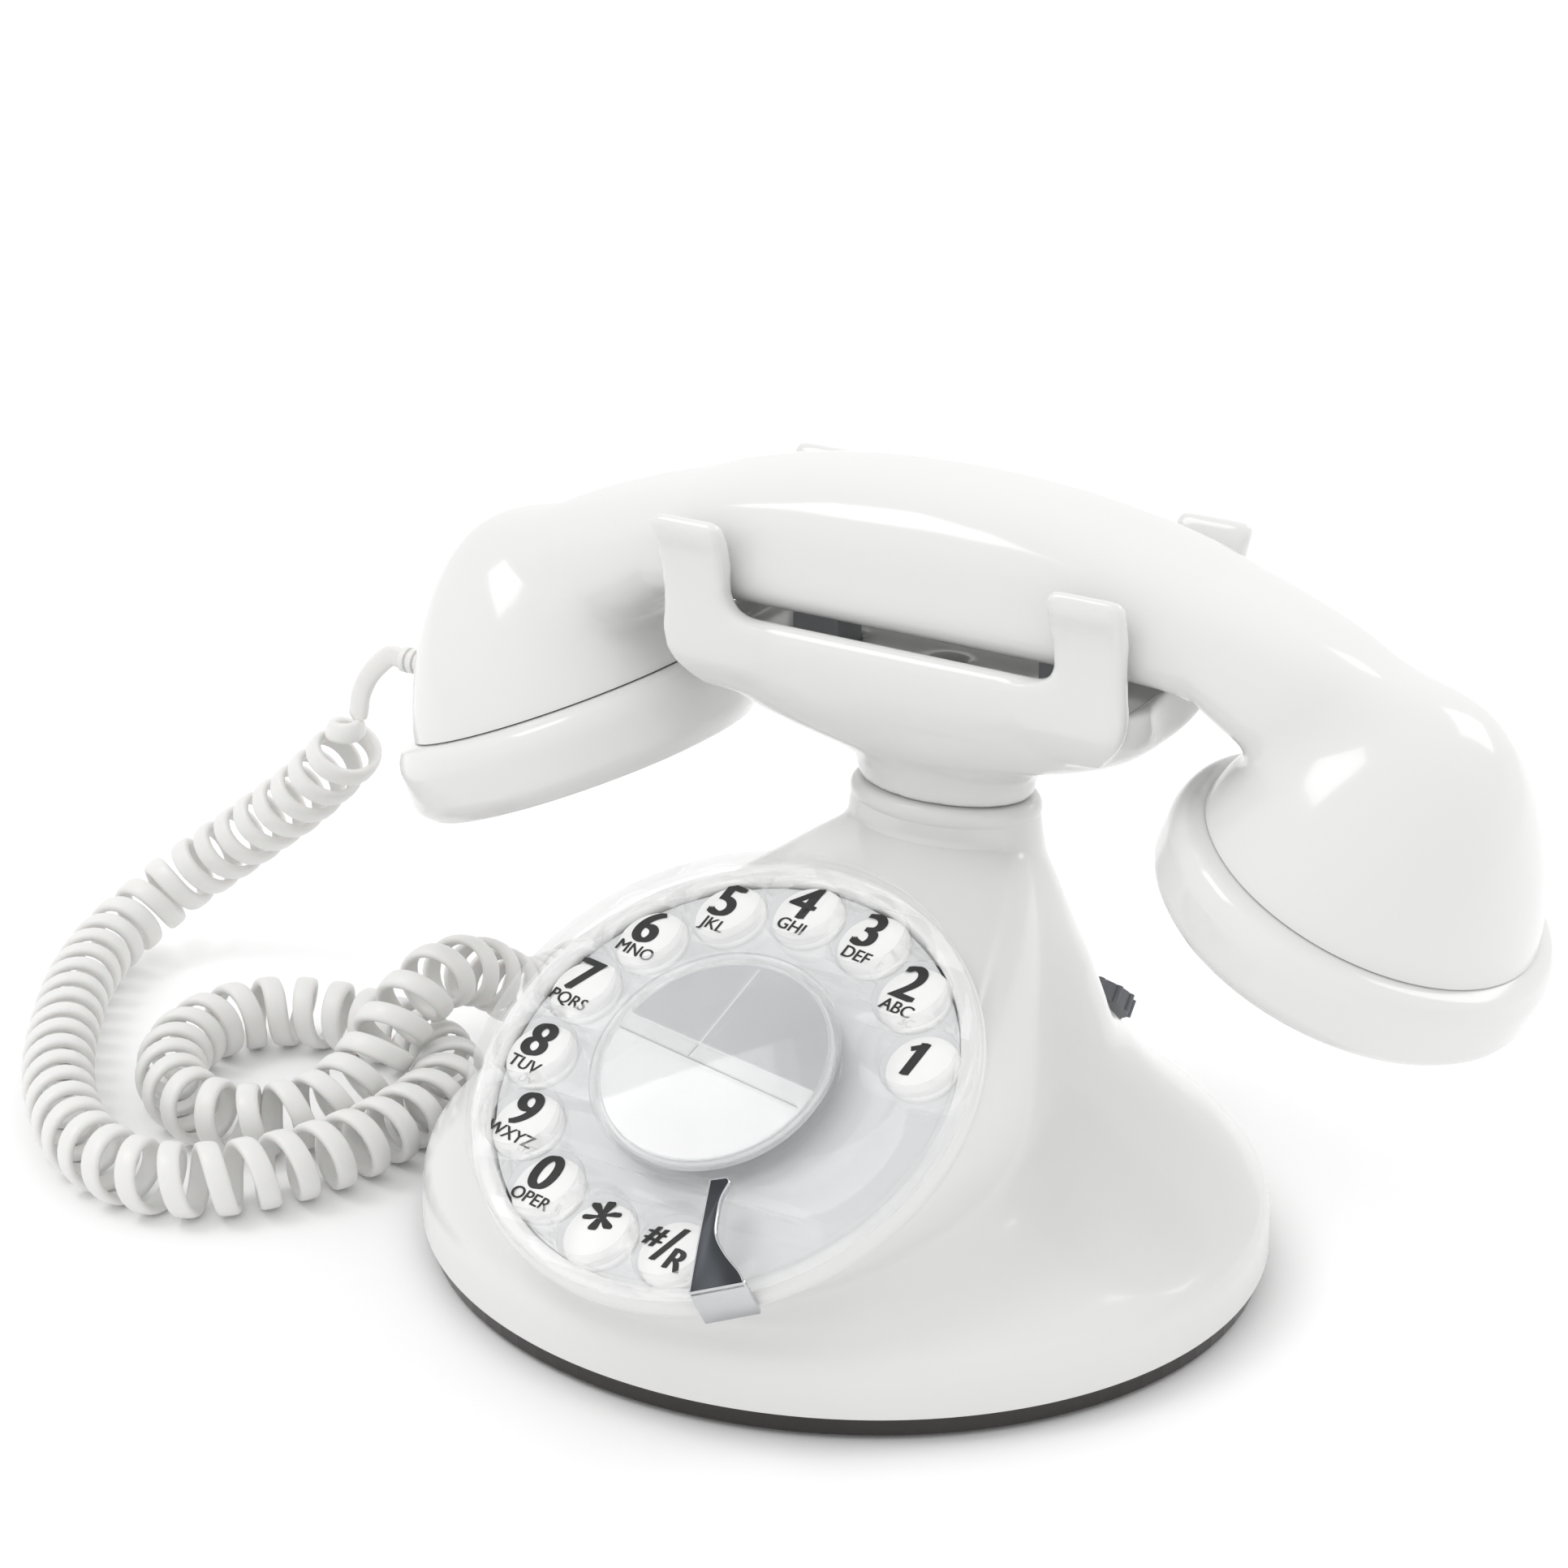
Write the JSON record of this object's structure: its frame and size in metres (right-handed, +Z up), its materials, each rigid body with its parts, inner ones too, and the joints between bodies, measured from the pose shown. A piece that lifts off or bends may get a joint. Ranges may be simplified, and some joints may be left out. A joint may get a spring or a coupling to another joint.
{
  "type": "desk telephone",
  "caption": "White desk telephone with a bell-shaped oval base, a tilted rotary dial with a clear finger wheel, a pronged cradle, and a handset on a curly cord.",
  "frame": {"origin": "on the table under the middle of the telephone without its cord", "axes": "+Z up, the dial faces -Y, +X to the right as the user sits in front of the dial"},
  "size_m": [0.2898, 0.1629, 0.127],
  "materials": {
    "white_plastic": "gloss white ABS",
    "black_plastic": "gloss dark brown-black moulding",
    "rubber": "moulded rubber",
    "steel": "zinc-plated steel",
    "chrome": "polished chrome",
    "clear_plastic": "clear moulded acrylic",
    "grey_plate": "satin light grey",
    "white_pads": "satin white",
    "card": "printed card",
    "brass": "stamped brass",
    "circuit_board": "solder mask",
    "black_parts": "matt black moulding",
    "grey_plastic": "dark grey moulding",
    "cord": "flexible white PVC",
    "wire": "insulated wire",
    "aluminium": "spun aluminium"
  },
  "bodies": {
    "base": {"rubber_feet": "rubber", "base_plate": "black_plastic", "base_screws": "steel", "ballast_plate": "steel", "body_shell": "white_plastic", "neck_ring": "white_plastic", "cradle": "white_plastic", "stem_tube": "steel", "stem_nut": "steel", "main_board": "circuit_board", "board_parts": "black_parts", "sounder": "black_parts", "line_socket": "black_parts", "cord_socket": "black_parts", "dial_bezel": "white_plastic", "dial_cup": "aluminium", "number_plate": "grey_plate", "number_pads": "white_pads", "finger_stop": "chrome", "stop_screw": "steel", "mainspring": "steel", "pulse_contacts": "brass", "hook_spring": "steel", "hook_switch": "black_parts", "volume_control": "black_parts", "handset_lead": "cord", "curly_cord": "cord", "base_lead": "cord", "cord_plug": "cord"},
    "dial": {"finger_wheel": "clear_plastic", "dial_hub": "grey_plate", "label_card": "card", "card_cover": "clear_plastic", "dial_shaft": "steel", "drive_gear": "brass"},
    "governor": {"governor_pinion": "brass", "governor_disc": "steel"},
    "hook": {"hook_plungers": "grey_plastic", "hook_rod": "steel"},
    "volume": {"volume_knob": "grey_plastic", "volume_shaft": "steel"},
    "handset": {"handset_shell": "white_plastic", "mouth_cap": "white_plastic", "ear_cap": "white_plastic", "microphone_capsule": "aluminium", "receiver_capsule": "aluminium", "handset_weight": "steel", "handset_wires": "wire", "strain_relief": "cord"}
  },
  "joints": [
    {"name": "dial_turn", "type": "hinge", "parent": "base", "child": "dial", "pos_m": [0, -0.0362, 0.0489], "axis": [0, 0.5195, -0.8545], "range_deg": [0, 330], "stiffness_Nm_per_rad": 0.004, "springref_deg": -85.94},
    {"name": "governor_spin", "type": "hinge", "parent": "base", "child": "governor", "pos_m": [0.02112, -0.0362, 0.0489], "axis": [0, 0.5195, -0.8545], "range_deg": [-1330, 10]},
    {"name": "handset_lift", "type": "slide", "parent": "base", "child": "handset", "axis": [0, 0, 1], "range_m": [0, 0.08], "deforming": ["curly_cord", "handset_lead"]},
    {"name": "hook_rise", "type": "slide", "parent": "base", "child": "hook", "axis": [0, 0, 1], "range_m": [0, 0.003], "deforming": ["hook_spring"]},
    {"name": "volume_turn", "type": "hinge", "parent": "base", "child": "volume", "pos_m": [0.016, 0.0622, 0.0213], "axis": [0, 0.6756, 0.7373], "range_deg": [-135, 135]}
  ],
  "couplings": [
    {"joint": "governor_spin", "follows": "dial_turn", "ratio": -4},
    {"joint": "hook_rise", "follows": "handset_lift", "ratio": 0.0375}
  ]
}
